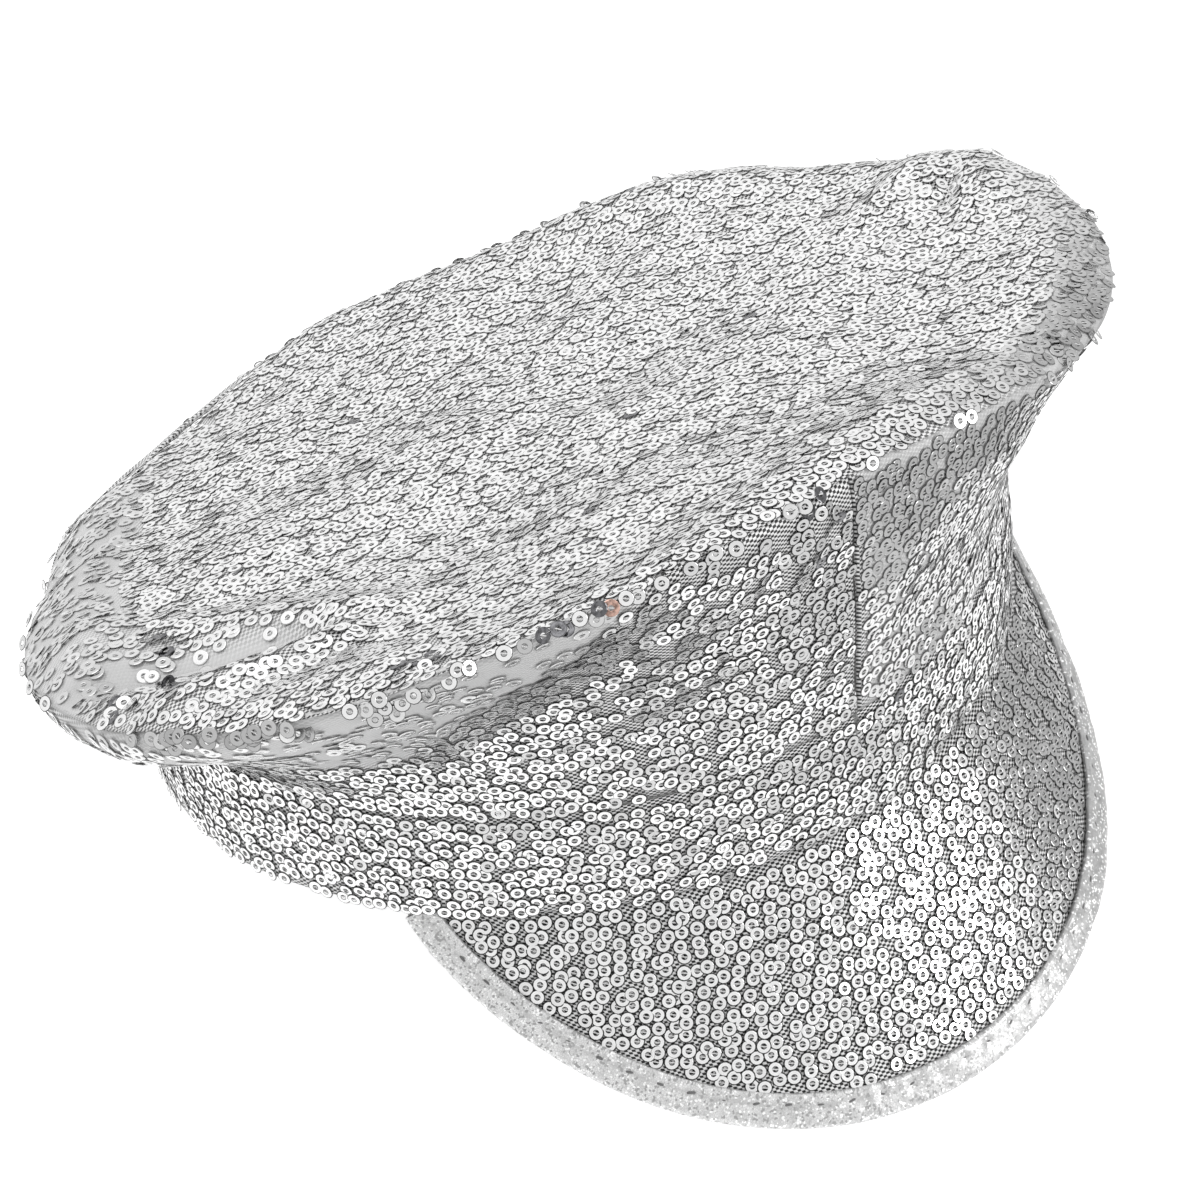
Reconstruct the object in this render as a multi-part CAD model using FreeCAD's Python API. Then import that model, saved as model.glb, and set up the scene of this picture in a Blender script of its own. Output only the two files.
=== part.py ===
"""A soft peaked party cap covered in sequins, modelled at its real size in millimetres.

Frame: +Z up, -Y is the wearer's front, +X is the wearer's left. The origin is the middle of the
head opening, in the plane of the band's lower edge. The visor droops below that plane.
Azimuths run from the front (0) round by the wearer's left (90) to the back (180).
"""
import FreeCAD, Part
import math
import os

from FreeCAD import Vector

# Band and head opening
BAND_HALF_WIDTH = 93.9      # outer oval, along X
BAND_HALF_LENGTH = 96.1     # outer oval, along Y
BAND_FRONT_HEIGHT = 25.0
BAND_BACK_DROP = 10.0       # how much lower the band stands at the back of the head
BAND_COVER_THICK = 1.2
BAND_HEM_THICK = 0.8        # the cover turned in under the stiffener
BAND_HEM_WIDTH = 3.2
STIFFENER_THICK = 1.0
FLANGE_THICK = 0.6          # the visor's seam allowance, sewn in behind the stiffener
FLANGE_HEIGHT = 9.0
SWEATBAND_THICK = 0.8
SWEATBAND_DROP = 3.5        # its upper edge stands this far below the band's
LAYER_GAP = 0.2             # air between layers that are only sewn together

# Rim of the crown: radius and height round the head, as a mean and its waves
RIM_RADIUS = 109.6
RIM_RADIUS_COS = (7.0, -9.2, -7.4)
RIM_RADIUS_SIN = (-3.2, -1.6, -1.5)
RIM_HEIGHT = 53.7
RIM_TILT = 33.0             # the front stands this much above the mean, the back as much below
RIM_TWIST = -6.0            # the wearer's right front and left back stand higher
TOP_SAG = 3.0               # the middle of the empty crown sinks this far
SIDE_BULGE = 3.0            # the side swells past the rim just under it
BACK_SLACK = 1.5            # spare fabric that slouches over the band at the back

# Cloth of the crown
CROWN_CLOTH = 1.2           # knit ground with its sequins
LINING_THICK = 0.5
STAY_THICK = 1.0
STAY_HALF_ANGLE = 48.0
SIDE_SEAMS = (0.0, 90.0, 180.0, 270.0)
SEAM_GAP = 0.15             # degrees of azimuth left open at each side of a seam
SIDE_FOOT_GAP = 0.3         # between the band's upper edge and the crown's side
SIDE_HEAD_GAP = 0.9         # between the crown's side and its top
INNER_SHARES = (0.06, 0.92) # the stay and the lining stop short of both seams of the side

# Visor
VISOR_HALF_ANGLE = 58.5     # azimuth of the visor's two ends on the band
VISOR_REACH = 56.9          # width at the middle, measured down its slope
VISOR_SLOPE_MIDDLE = 58.6   # degrees below level
VISOR_SLOPE_ENDS = 50.3
VISOR_FULLNESS = 2.22       # 2 is an ellipse, more is squarer
VISOR_DROP = 0.3            # clear of the band's hem
VISOR_COVER_THICK = 0.8
VISOR_BOARD_THICK = 1.2
VISOR_LINING_THICK = 0.4
VISOR_LAYER_GAP = 0.1
VISOR_EDGE_INSET = 2.2      # the layers stop this far inside the fold of the binding
VISOR_END_INSET = 3.0       # degrees

# Binding and stitches
BINDING_WIDTH = 6.6
BINDING_WALL = 0.6
STITCH_RADIUS = 0.25
STITCH_LIFT = 0.06          # keeps a straight stitch clear of the curved cloth under it
BINDING_STITCH_PITCH = 6.7
BINDING_STITCH_LENGTH = 2.6
BINDING_STITCH_INSET = 5.0
SWEATBAND_STITCHES = 60
SWEATBAND_STITCH_LENGTH = 4.0
SWEATBAND_STITCH_HEIGHT = 4.0

VISOR_STACK = VISOR_COVER_THICK + VISOR_BOARD_THICK + VISOR_LINING_THICK + 2 * VISOR_LAYER_GAP
STIFFENER_INSET = BAND_COVER_THICK + LAYER_GAP
FLANGE_INSET = STIFFENER_INSET + STIFFENER_THICK + LAYER_GAP
SWEATBAND_INSET = FLANGE_INSET + FLANGE_THICK + LAYER_GAP
STAY_INSET = CROWN_CLOTH + 0.3
LINING_INSET = STAY_INSET + STAY_THICK + 0.3
TOP_LINING_DEPTH = LINING_INSET + 0.8
TOP_LINING_INSET = LINING_INSET + LINING_THICK + 4.0


# ---------------------------------------------------------------- shared curves

def band_point(azimuth, z=0.0, inset=0.0):
    """A point on the band's oval, a little inside it if inset is given."""
    a = math.radians(azimuth)
    return Vector((BAND_HALF_WIDTH - inset) * math.sin(a), -(BAND_HALF_LENGTH - inset) * math.cos(a), z)


def band_radius(azimuth):
    """The band oval's distance from the origin at a true azimuth."""
    a = math.radians(azimuth)
    return 1.0 / math.hypot(math.sin(a) / BAND_HALF_WIDTH, math.cos(a) / BAND_HALF_LENGTH)


def band_top(y):
    """Height of the band's upper edge, which dips towards the back."""
    backness = (1.0 + y / BAND_HALF_LENGTH) / 2.0
    return BAND_FRONT_HEIGHT - BAND_BACK_DROP * max(backness, 0.0) ** 3


def rim_radius(azimuth):
    waves = sum(c * math.cos(k * math.radians(azimuth)) for k, c in enumerate(RIM_RADIUS_COS, 1))
    waves += sum(s * math.sin(k * math.radians(azimuth)) for k, s in enumerate(RIM_RADIUS_SIN, 1))
    return RIM_RADIUS + waves


def crown_height(share, azimuth):
    """Height of the crown's top at a share of the way from its middle (0) to its rim (1)."""
    a = math.radians(azimuth)
    tilt = RIM_TILT * share * math.cos(a) + RIM_TWIST * share ** 2 * math.sin(2 * a)
    return RIM_HEIGHT + tilt - TOP_SAG * (1.0 - share ** 2)


def rim_point(azimuth, inset=0.0):
    a = math.radians(azimuth)
    r = rim_radius(azimuth) - inset
    return Vector(r * math.sin(a), -r * math.cos(a), crown_height(1.0, azimuth))


def closed_curve(points):
    curve = Part.BSplineCurve()
    curve.interpolate(points, PeriodicFlag=True)
    return Part.Wire(curve.toShape())


def spaced(low, high, count):
    return [low + (high - low) * i / (count - 1) for i in range(count)]


# ---------------------------------------------------------------- band

def oval_prism(inset, low, high):
    """An upright oval column: the band's outline moved in by inset."""
    across, along = BAND_HALF_WIDTH - inset, BAND_HALF_LENGTH - inset
    oval = Part.Ellipse(Vector(0, -along, low), Vector(across, 0, low), Vector(0, 0, low))
    return Part.Face(Part.Wire(oval.toShape())).extrude(Vector(0, 0, high - low))


def oval_ring(inset, thick, low, high):
    return oval_prism(inset, low, high).cut(oval_prism(inset + thick, low - 1, high + 1))


def below_band_top(drop):
    """Everything under the band's dipping upper edge, less drop."""
    reach = 2 * BAND_HALF_WIDTH
    stations = spaced(-BAND_HALF_LENGTH - 2, BAND_HALF_LENGTH + 2, 15)
    edge = Part.BSplineCurve()
    edge.interpolate([Vector(-reach, y, band_top(y) - drop) for y in stations])
    floor = -10.0
    first, last = edge.StartPoint, edge.EndPoint
    low_first, low_last = Vector(first.x, first.y, floor), Vector(last.x, last.y, floor)
    outline = Part.Wire([edge.toShape(), Part.makeLine(last, low_last),
                         Part.makeLine(low_last, low_first), Part.makeLine(low_first, first)])
    return Part.Face(outline).extrude(Vector(2 * reach, 0, 0))


def band_cover():
    wall = oval_ring(0.0, BAND_COVER_THICK, 0.0, BAND_FRONT_HEIGHT + 5)
    hem = oval_ring(BAND_COVER_THICK / 2, BAND_HEM_WIDTH, 0.0, BAND_HEM_THICK)
    return wall.common(below_band_top(0.0)).fuse(hem).removeSplitter()


def band_stiffener():
    low = BAND_HEM_THICK + LAYER_GAP
    ring = oval_ring(STIFFENER_INSET, STIFFENER_THICK, low, BAND_FRONT_HEIGHT + 5)
    return ring.common(below_band_top(1.0))


def sweatband():
    low = BAND_HEM_THICK + LAYER_GAP
    ring = oval_ring(SWEATBAND_INSET, SWEATBAND_THICK, low, BAND_FRONT_HEIGHT + 5)
    return ring.common(below_band_top(SWEATBAND_DROP))


def sector_wedge(half_angle, low, high):
    """An upright wedge over the azimuths within half_angle of the front."""
    far = 3 * BAND_HALF_LENGTH
    side = far * math.tan(math.radians(half_angle))
    outline = [Vector(0, 0, low), Vector(side, -far, low), Vector(-side, -far, low), Vector(0, 0, low)]
    return Part.Face(Part.makePolygon(outline)).extrude(Vector(0, 0, high - low))


def visor_seam_flange():
    low = BAND_HEM_THICK + LAYER_GAP
    ring = oval_ring(FLANGE_INSET, FLANGE_THICK, low, low + FLANGE_HEIGHT)
    return ring.common(sector_wedge(VISOR_HALF_ANGLE - 2, low - 1, low + FLANGE_HEIGHT + 1))


def sweatband_stitches():
    stitches = []
    for i in range(SWEATBAND_STITCHES):
        azimuth = 360.0 * i / SWEATBAND_STITCHES
        inset = SWEATBAND_INSET + SWEATBAND_THICK + STITCH_RADIUS + STITCH_LIFT
        middle = band_point(azimuth, SWEATBAND_STITCH_HEIGHT, inset)
        along = (band_point(azimuth + 1, SWEATBAND_STITCH_HEIGHT, inset) - middle).normalize()
        start = middle - along * (SWEATBAND_STITCH_LENGTH / 2)
        stitches.append(Part.makeCylinder(STITCH_RADIUS, SWEATBAND_STITCH_LENGTH, start, along))
    return Part.makeCompound(stitches)


# ---------------------------------------------------------------- crown

def side_profile(azimuth, depth, low_share, high_share):
    """Line of the crown's side at one azimuth, as (radius, height) from band to rim, at a depth
    under its outer face. The shares say where on the way it starts and ends."""
    a = math.radians(azimuth)
    backness = (1.0 - math.cos(a)) / 2.0
    slack = BACK_SLACK * backness ** 2
    foot_r = band_radius(azimuth)
    foot_z = band_top(-foot_r * math.cos(a)) + SIDE_FOOT_GAP
    head_r = rim_radius(azimuth)
    head_z = crown_height(1.0, azimuth) - CROWN_CLOTH - SIDE_HEAD_GAP
    rise = head_z - foot_z
    swell = (foot_r + 0.3 * (head_r - foot_r) + slack, foot_z + 0.3 * rise - slack)
    control = [
        (foot_r - 0.85 * depth, foot_z + 0.5 * depth),
        (swell[0] - 0.85 * depth, swell[1] + 0.5 * depth),
        (head_r + SIDE_BULGE + slack - depth, head_z - 0.3 * rise - slack),
        (head_r - depth, head_z - 0.45 * depth),
    ]
    line = []
    for t in spaced(low_share, high_share, 11):
        weights = ((1 - t) ** 3, 3 * t * (1 - t) ** 2, 3 * t * t * (1 - t), t ** 3)
        line.append([sum(w * c[k] for w, c in zip(weights, control)) for k in (0, 1)])
    return line


def side_section(azimuth, near, far, low_share, high_share):
    """Closed upright section of a layer of the crown's side, between two depths."""
    a = math.radians(azimuth)

    def placed(depth):
        line = side_profile(azimuth, depth, low_share, high_share)
        return [Vector(r * math.sin(a), -r * math.cos(a), z) for r, z in line]

    outer, inner = placed(near), placed(far)[::-1]
    outer_edge, inner_edge = Part.BSplineCurve(), Part.BSplineCurve()
    outer_edge.interpolate(outer)
    inner_edge.interpolate(inner)
    return Part.Wire([outer_edge.toShape(), Part.makeLine(outer[-1], inner[0]),
                      inner_edge.toShape(), Part.makeLine(inner[-1], outer[0])])


def side_layer(start, end, near, far, low_share=0.0, high_share=1.0):
    sections = [side_section(azimuth, near, far, low_share, high_share)
                for azimuth in spaced(start, end, 9)]
    return Part.makeLoft(sections, True, False)


def side_panel(start):
    return side_layer(start + SEAM_GAP, start + 90.0 - SEAM_GAP, 0.0, CROWN_CLOTH)


def front_stay():
    far = STAY_INSET + STAY_THICK
    return side_layer(-STAY_HALF_ANGLE, STAY_HALF_ANGLE, STAY_INSET, far, *INNER_SHARES)


def crown_side_lining():
    far = LINING_INSET + LINING_THICK
    halves = [side_layer(start + SEAM_GAP, start + 180.0 - SEAM_GAP, LINING_INSET, far, *INNER_SHARES)
              for start in (0.0, 180.0)]
    return Part.makeCompound(halves)


def crown_slab(thick, depth, edge_inset):
    """A layer of the crown's top: it follows the top surface, depth below it."""
    reach = RIM_RADIUS + 32.0
    rows = []
    for x in spaced(-reach, reach, 21):
        row = []
        for y in spaced(-reach, reach, 21):
            azimuth = math.degrees(math.atan2(x, -y))
            share = math.hypot(x, y) / rim_radius(azimuth)
            row.append(Vector(x, y, crown_height(share, azimuth) - depth))
        rows.append(row)
    surface = Part.BSplineSurface()
    surface.interpolate(rows)
    sheet = surface.toShape().extrude(Vector(0, 0, -thick))
    rim = [rim_point(azimuth, edge_inset) for azimuth in spaced(0.0, 350.0, 36)]
    outline = closed_curve([Vector(point.x, point.y, -20.0) for point in rim])
    return sheet.common(Part.Face(outline).extrude(Vector(0, 0, 160.0)))


def crown_top_panel():
    return crown_slab(CROWN_CLOTH, 0.0, 0.0)


def crown_top_lining():
    return crown_slab(LINING_THICK, TOP_LINING_DEPTH, TOP_LINING_INSET)


# ---------------------------------------------------------------- visor

def visor_ruling(azimuth):
    """The visor's own straight line at an azimuth: its start on the band and its direction down."""
    share = azimuth / VISOR_HALF_ANGLE
    slope = math.radians(VISOR_SLOPE_MIDDLE + (VISOR_SLOPE_ENDS - VISOR_SLOPE_MIDDLE) * share ** 2)
    start = band_point(azimuth, -VISOR_DROP)
    return start, Vector(0, -math.cos(slope), -math.sin(slope))


def visor_width(azimuth, edge_inset=0.0, end_inset=0.0):
    share = abs(azimuth) / (VISOR_HALF_ANGLE - end_inset)
    return (VISOR_REACH - edge_inset) * math.sqrt(max(1.0 - share ** VISOR_FULLNESS, 0.0))


def visor_layer(depth, thick):
    """One layer of the visor, lofted from upright sections across it."""
    limit = VISOR_HALF_ANGLE - VISOR_END_INSET - 0.5
    turns = spaced(-1.0, 1.0, 23)
    sections = []
    for turn in turns:
        azimuth = limit * math.sin(turn * math.pi / 2)
        start, down = visor_ruling(azimuth)
        width = visor_width(azimuth, VISOR_EDGE_INSET, VISOR_END_INSET)
        up = Vector(0, down.z, -down.y)
        top, low = start - up * depth, start - up * (depth + thick)
        sections.append(Part.makePolygon([top, top + down * width, low + down * width, low, top]))
    return Part.makeLoft(sections, True, False)


def visor_edge(turn):
    """A point on the visor's free edge, with its outward-facing normal; turn runs from -90 to 90."""
    sine = math.sin(math.radians(turn))
    azimuth = VISOR_HALF_ANGLE * math.copysign(abs(sine) ** (2.0 / VISOR_FULLNESS), sine)
    start, down = visor_ruling(azimuth)
    width = visor_width(azimuth)
    step = 0.2
    ahead, ahead_down = visor_ruling(azimuth + step)
    along = (ahead + ahead_down * width) - (start + down * width)
    return start + down * width, along.cross(down).normalize()


def binding_frames(count, last_turn=86.0):
    """Stations along the free edge: point, direction along, direction inwards, normal."""
    frames = []
    for turn in spaced(-last_turn, last_turn, count):
        point, normal = visor_edge(turn)
        along = (visor_edge(turn + 0.3)[0] - visor_edge(turn - 0.3)[0]).normalize()
        if normal.z < 0:
            normal = normal * -1
        inward = normal.cross(along).normalize()
        frames.append((point, along, inward, along.cross(inward)))
    return frames


def visor_binding():
    """Bias tape folded over the free edge: a U section carried along it."""
    over = BINDING_WALL + VISOR_LAYER_GAP
    under = VISOR_STACK + VISOR_LAYER_GAP
    outline = [(0.0, over), (BINDING_WIDTH, over), (BINDING_WIDTH, over - BINDING_WALL),
               (BINDING_WALL, over - BINDING_WALL), (BINDING_WALL, -under), (BINDING_WIDTH, -under),
               (BINDING_WIDTH, -under - BINDING_WALL), (0.0, -under - BINDING_WALL), (0.0, over)]
    sections = []
    for point, _, inward, normal in binding_frames(31):
        sections.append(Part.makePolygon([point + inward * i + normal * n for i, n in outline]))
    return Part.makeLoft(sections, True, False)


def visor_binding_stitches():
    stitches = []
    travelled = BINDING_STITCH_PITCH / 2
    frames = binding_frames(201, 82.0)
    for (point, along, inward, normal), following in zip(frames, frames[1:]):
        travelled += (following[0] - point).Length
        if travelled >= BINDING_STITCH_PITCH:
            travelled -= BINDING_STITCH_PITCH
            lift = VISOR_LAYER_GAP + BINDING_WALL + STITCH_RADIUS + STITCH_LIFT
            middle = point + inward * BINDING_STITCH_INSET + normal * lift
            start = middle - along * (BINDING_STITCH_LENGTH / 2)
            stitches.append(Part.makeCylinder(STITCH_RADIUS, BINDING_STITCH_LENGTH, start, along))
    return Part.makeCompound(stitches)


# ---------------------------------------------------------------- the pieces

def pieces():
    yield "crown_top_panel", crown_top_panel()
    names = ("crown_front_left_panel", "crown_rear_left_panel",
             "crown_rear_right_panel", "crown_front_right_panel")
    for name, seam in zip(names, SIDE_SEAMS):
        yield name, side_panel(seam)
    yield "crown_front_stay", front_stay()
    yield "crown_side_lining", crown_side_lining()
    yield "crown_top_lining", crown_top_lining()
    yield "band_cover", band_cover()
    yield "band_stiffener", band_stiffener()
    yield "sweatband", sweatband()
    yield "sweatband_stitches", sweatband_stitches()
    yield "visor_seam_flange", visor_seam_flange()
    depth = 0.0
    for name, thick in (("visor_top_cover", VISOR_COVER_THICK), ("visor_board", VISOR_BOARD_THICK),
                        ("visor_lining", VISOR_LINING_THICK)):
        yield name, visor_layer(depth, thick)
        depth += thick + VISOR_LAYER_GAP
    yield "visor_binding", visor_binding()
    yield "visor_binding_stitches", visor_binding_stitches()


os.makedirs("parts", exist_ok=True)
for name, shape in pieces():
    shape.exportStep("parts/" + name + ".step")
    print(name, "solids", len(shape.Solids), "valid", shape.isValid(), "mm3", round(shape.Volume))
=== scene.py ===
import math

import bmesh
import bpy
import numpy as np
from mathutils import Matrix, Vector


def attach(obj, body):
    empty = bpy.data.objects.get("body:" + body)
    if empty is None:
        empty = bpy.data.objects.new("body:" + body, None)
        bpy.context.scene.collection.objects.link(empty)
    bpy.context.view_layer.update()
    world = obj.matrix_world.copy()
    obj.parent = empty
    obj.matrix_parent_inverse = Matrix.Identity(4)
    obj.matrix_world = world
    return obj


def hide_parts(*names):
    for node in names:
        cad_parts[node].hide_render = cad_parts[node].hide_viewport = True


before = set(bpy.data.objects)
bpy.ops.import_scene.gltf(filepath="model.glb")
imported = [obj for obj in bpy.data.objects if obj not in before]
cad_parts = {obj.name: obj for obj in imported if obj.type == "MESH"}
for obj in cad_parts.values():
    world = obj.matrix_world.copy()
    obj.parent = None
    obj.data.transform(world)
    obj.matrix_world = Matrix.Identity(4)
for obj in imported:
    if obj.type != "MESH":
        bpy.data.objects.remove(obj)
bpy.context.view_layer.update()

MM = 0.001
rng = np.random.default_rng(31)

# ---------------------------------------------------------------- sizes, mm and degrees

BAND_HALF_WIDTH, BAND_HALF_LENGTH = 93.9, 96.1
BAND_FRONT_HEIGHT, BAND_BACK_DROP = 25.0, 10.0
RIM_RADIUS = 109.6
RIM_RADIUS_COS = (7.0, -9.2, -7.4)
RIM_RADIUS_SIN = (-3.2, -1.6, -1.5)
RIM_HEIGHT, RIM_TILT, RIM_TWIST = 53.7, 33.0, -6.0
TOP_SAG, SIDE_BULGE, BACK_SLACK = 3.0, 3.0, 1.5
RIM_ROLL = 2.6              # the top rolls down this far into the rim's seam
VISOR_HALF_ANGLE, VISOR_REACH, VISOR_FULLNESS = 58.5, 56.9, 2.13
VISOR_SLOPE_MIDDLE, VISOR_SLOPE_ENDS = 58.6, 50.3
VISOR_DROP, VISOR_STACK = 0.3, 2.6
BINDING_WIDTH, BINDING_WALL = 6.6, 0.6
BINDING_STITCH_PITCH, BINDING_STITCH_INSET = 6.7, 4.6
CLOTH = 0.8                 # thickness of the knit and its backing

SEQUIN_RADIUS, SEQUIN_HOLE = 1.55, 0.50
SEQUIN_PITCH = 2.9          # mean distance between sequins
KNIT_PITCH = 0.74           # distance between the knit's pinholes

# Length of cloth for each degree around the cap, by which flat coordinates are counted.
SIDE_DEGREE, BAND_DEGREE, VISOR_DEGREE, SWEATBAND_DEGREE = 1.75, 1.65, 1.64, 1.58


# ---------------------------------------------------------------- shape of the cap

def unit(vectors):
    return vectors / np.linalg.norm(vectors, axis=-1, keepdims=True)


def waves(azimuth, cosines, sines=()):
    a = np.radians(azimuth)
    total = sum(c * np.cos(k * a) for k, c in enumerate(cosines, 1))
    return total + sum(s * np.sin(k * a) for k, s in enumerate(sines, 1))


def bump(azimuth, middle, width):
    """1 at the middle azimuth, falling off smoothly within about width degrees."""
    gap = (azimuth - middle + 180.0) % 360.0 - 180.0
    return np.exp(-(gap / width) ** 2)


def bumps(azimuth, *places):
    """Sum of bumps, each given as its middle, its width and its height."""
    return sum(height * bump(azimuth, middle, width) for middle, width, height in places)


# Where the limp cloth departs from the plain rim and band: azimuth, width in degrees, mm.
RIM_OUT = ((-92, 26, -1.6), (172, 42, -2.6), (-162, 13, -2.4), (-138, 10, 3.6), (172, 7, 2.2),
           (148, 10, -1.2), (127, 7, 1.2))
RIM_UP = ((80, 8, 2.8), (86, 5, 2.6), (66, 8, 1.4), (104, 11, -2.8), (122, 12, 1.4), (176, 40, -3.0),
          (-36, 20, 2.0))
ROLL_DOWN = ((45, 25, 4.5), (-118, 34, 3.5), (-38, 26, -2.0))
BAND_OUT = ((-106, 16, -3.6),)


def outward_of(azimuth):
    a = np.radians(azimuth)
    return np.stack([np.sin(a), -np.cos(a), 0 * a], -1)


def rim_radius(azimuth):
    return RIM_RADIUS + waves(azimuth, RIM_RADIUS_COS, RIM_RADIUS_SIN) + bumps(azimuth, *RIM_OUT)


def rim_roll(azimuth):
    """How far the top rolls down into the rim's seam: most where the crown is limp."""
    return RIM_ROLL + bumps(azimuth, *ROLL_DOWN)


def rim_lift(azimuth):
    """A pinch that stands up at the wearer's left side seam, and the slack back."""
    return bumps(azimuth, *RIM_UP)


def band_radius(azimuth):
    a = np.radians(azimuth)
    oval = 1.0 / np.hypot(np.sin(a) / BAND_HALF_WIDTH, np.cos(a) / BAND_HALF_LENGTH)
    return oval + bumps(azimuth, *BAND_OUT)


def band_top(y):
    backness = np.clip((1.0 + y / BAND_HALF_LENGTH) / 2.0, 0.0, None)
    return BAND_FRONT_HEIGHT - BAND_BACK_DROP * backness ** 3


def band_height(azimuth):
    return band_top(-band_radius(azimuth) * np.cos(np.radians(azimuth)))


def smooth(x):
    x = np.clip(x, 0.0, 1.0)
    return x * x * (3.0 - 2.0 * x)


def lumps(x, y, seed, length, height, terms=14):
    """Gentle seeded unevenness of soft cloth: waves in many directions, about length apart."""
    own = np.random.default_rng(seed)
    total = np.zeros(np.broadcast(x, y).shape)
    for _ in range(terms):
        turn, phase = own.uniform(0, 2 * math.pi, 2)
        k = 2 * math.pi / (length * own.uniform(0.6, 1.6))
        total += np.sin(k * (x * math.cos(turn) + y * math.sin(turn)) + phase)
    return total * height / math.sqrt(terms)


def ridge(x, y, start, end, width, height):
    """A soft fold along a line from start to end, fading out at both ends."""
    sx, sy = start
    dx, dy = end[0] - sx, end[1] - sy
    length = math.hypot(dx, dy)
    along = ((x - sx) * dx + (y - sy) * dy) / length ** 2
    aside = ((x - sx) * dy - (y - sy) * dx) / length
    fade = smooth((along + 0.25) / 0.35) * smooth((1.25 - along) / 0.35)
    return height * fade * np.exp(-(aside / width) ** 2)


# Folds in the top, by plan position: start, end, half width, height.
TOP_FOLDS = (
    ((-116, -16), (-84, -40), 6.0, -5.0),
    ((-119, -42), (-82, -52), 4.5, 3.4),
    ((-101, 4), (-69, -50), 6.0, 1.8),
    ((116, -6), (99, -18), 2.4, -2.0),
    ((116, 3), (90, -6), 4.0, 1.6),
    ((112, -20), (90, -32), 4.0, 1.4),
    ((-40, 62), (20, 76), 9.0, 0.8),
)

# Folds in the sides, by azimuth in degrees and height above the band in mm.
SIDE_FOLDS = (
    ((-62, 24), (-27, 62), 5.0, 1.6),
    ((-50, 12), (-23, 52), 3.6, -0.6),
    ((-40, 20), (-16, 30), 5.0, 0.8),
    ((-47, 30), (-44, 9), 1.8, 1.0),
    ((-84, 12), (-50, 6), 4.0, 1.0),
    ((-118, 16), (-92, 10), 4.0, 1.2),
    ((-5, 56), (-8, 44), 2.6, 1.2),
    ((-9, 56), (-13, 42), 2.2, -0.8),
    ((16, 46), (44, 14), 5.0, 0.8),
    ((90, 24), (84, 4), 3.0, -0.9),
    ((112, 18), (128, 6), 4.0, 1.0),
    ((150, 10), (172, 6), 4.0, 0.8),
    ((196, 8), (216, 8), 4.0, -0.6),
)


def crown_height(share, azimuth):
    a = np.radians(azimuth)
    tilt = RIM_TILT * share * np.cos(a) + RIM_TWIST * share ** 2 * np.sin(2 * a)
    return RIM_HEIGHT + tilt - TOP_SAG * (1.0 - share ** 2) + rim_lift(azimuth) * share ** 5


def seam_ripple(azimuth):
    """Small puckers along the rim's seam, mm."""
    return 0.5 * np.sin(np.radians(azimuth * 23)) * np.sin(np.radians(azimuth * 7 + 40))


def top_surface(x, y):
    """Crown's top over plan position in mm."""
    azimuth = np.degrees(np.arctan2(x, -y))
    share = np.hypot(x, y) / rim_radius(azimuth)
    inner = 1.0 - smooth((share - 0.86) / 0.14)
    z = crown_height(share, azimuth) + lumps(x, y, 5, 60.0, 0.9) * inner
    z += lumps(x, y, 8, 17.0, 0.09) * inner
    for fold in TOP_FOLDS:
        z = z + ridge(x, y, *fold) * (0.3 + 0.7 * inner)
    start = 0.90 - 0.05 * bump(azimuth, 45, 25) - 0.06 * bump(azimuth, -118, 34)
    edge = np.clip((share - start) / (1.0 - start), 0.0, 1.0)
    pillow = 0.9 * (1.0 - 0.9 * bump(azimuth, 45, 34))
    z += pillow * np.sin(np.clip((share - 0.8) / 0.2, 0, 1) * math.pi) - rim_roll(azimuth) * edge ** 2.2
    return np.stack([x, y, z + seam_ripple(azimuth) * edge], -1)


def side_ends(azimuth):
    a = np.radians(azimuth)
    foot_r = band_radius(azimuth)
    head_z = crown_height(1.0, azimuth) - rim_roll(azimuth) + seam_ripple(azimuth)
    return (foot_r, band_top(-foot_r * np.cos(a)) + 0.2), (rim_radius(azimuth), head_z)


def side_hollow(azimuth):
    """1 where the side stands upright and then flares out under the rim, 0 where it bulges."""
    hollow = bump(azimuth, 66, 38) + 0.75 * bump(azimuth, -40, 34) + 0.35 * bump(azimuth, -112, 30)
    return np.clip(hollow, 0.0, 1.0)


def side_controls(azimuth, depth=0.0):
    """Four Bezier points, (radius, height) in mm, of the side's section at each azimuth."""
    backness = (1.0 - np.cos(np.radians(azimuth))) / 2.0
    slack = BACK_SLACK * backness ** 2
    (foot_r, foot_z), (head_r, head_z) = side_ends(azimuth)
    rise, reach = head_z - foot_z, head_r - foot_r
    hollow = side_hollow(azimuth)
    pillow, tuck = bump(azimuth, -81, 24), bump(azimuth, 42, 20)
    swell_r = foot_r + (0.3 - 0.42 * hollow) * reach + slack - 0.85 * depth - 2.0 * tuck
    swell_z = foot_z + (0.3 + 0.42 * hollow) * rise - slack + 0.5 * depth
    flare_r = head_r + (SIDE_BULGE + slack) * (1.0 - hollow) - 0.28 * reach * hollow - depth
    flare_r = flare_r + 2.0 * pillow - 4.5 * tuck
    flare_z = head_z - (0.3 - 0.12 * hollow) * rise - slack - 6.5 * pillow
    return ((foot_r - 0.85 * depth, foot_z + 0.5 * depth), (swell_r, swell_z), (flare_r, flare_z),
            (head_r - depth, head_z - 0.45 * depth))


def bezier(controls, t):
    weights = ((1 - t) ** 3, 3 * t * (1 - t) ** 2, 3 * t * t * (1 - t), t ** 3)
    return [sum(w * c[k] for w, c in zip(weights, controls)) for k in (0, 1)]


SECTION_STEPS = 24


def side_run(controls):
    """Distance along the section from the band, at even steps of its parameter."""
    knots = [bezier(controls, k / SECTION_STEPS) for k in range(SECTION_STEPS + 1)]
    run = [0.0 * knots[0][0]]
    for (r0, z0), (r1, z1) in zip(knots, knots[1:]):
        run.append(run[-1] + np.hypot(r1 - r0, z1 - z0))
    return run


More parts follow.
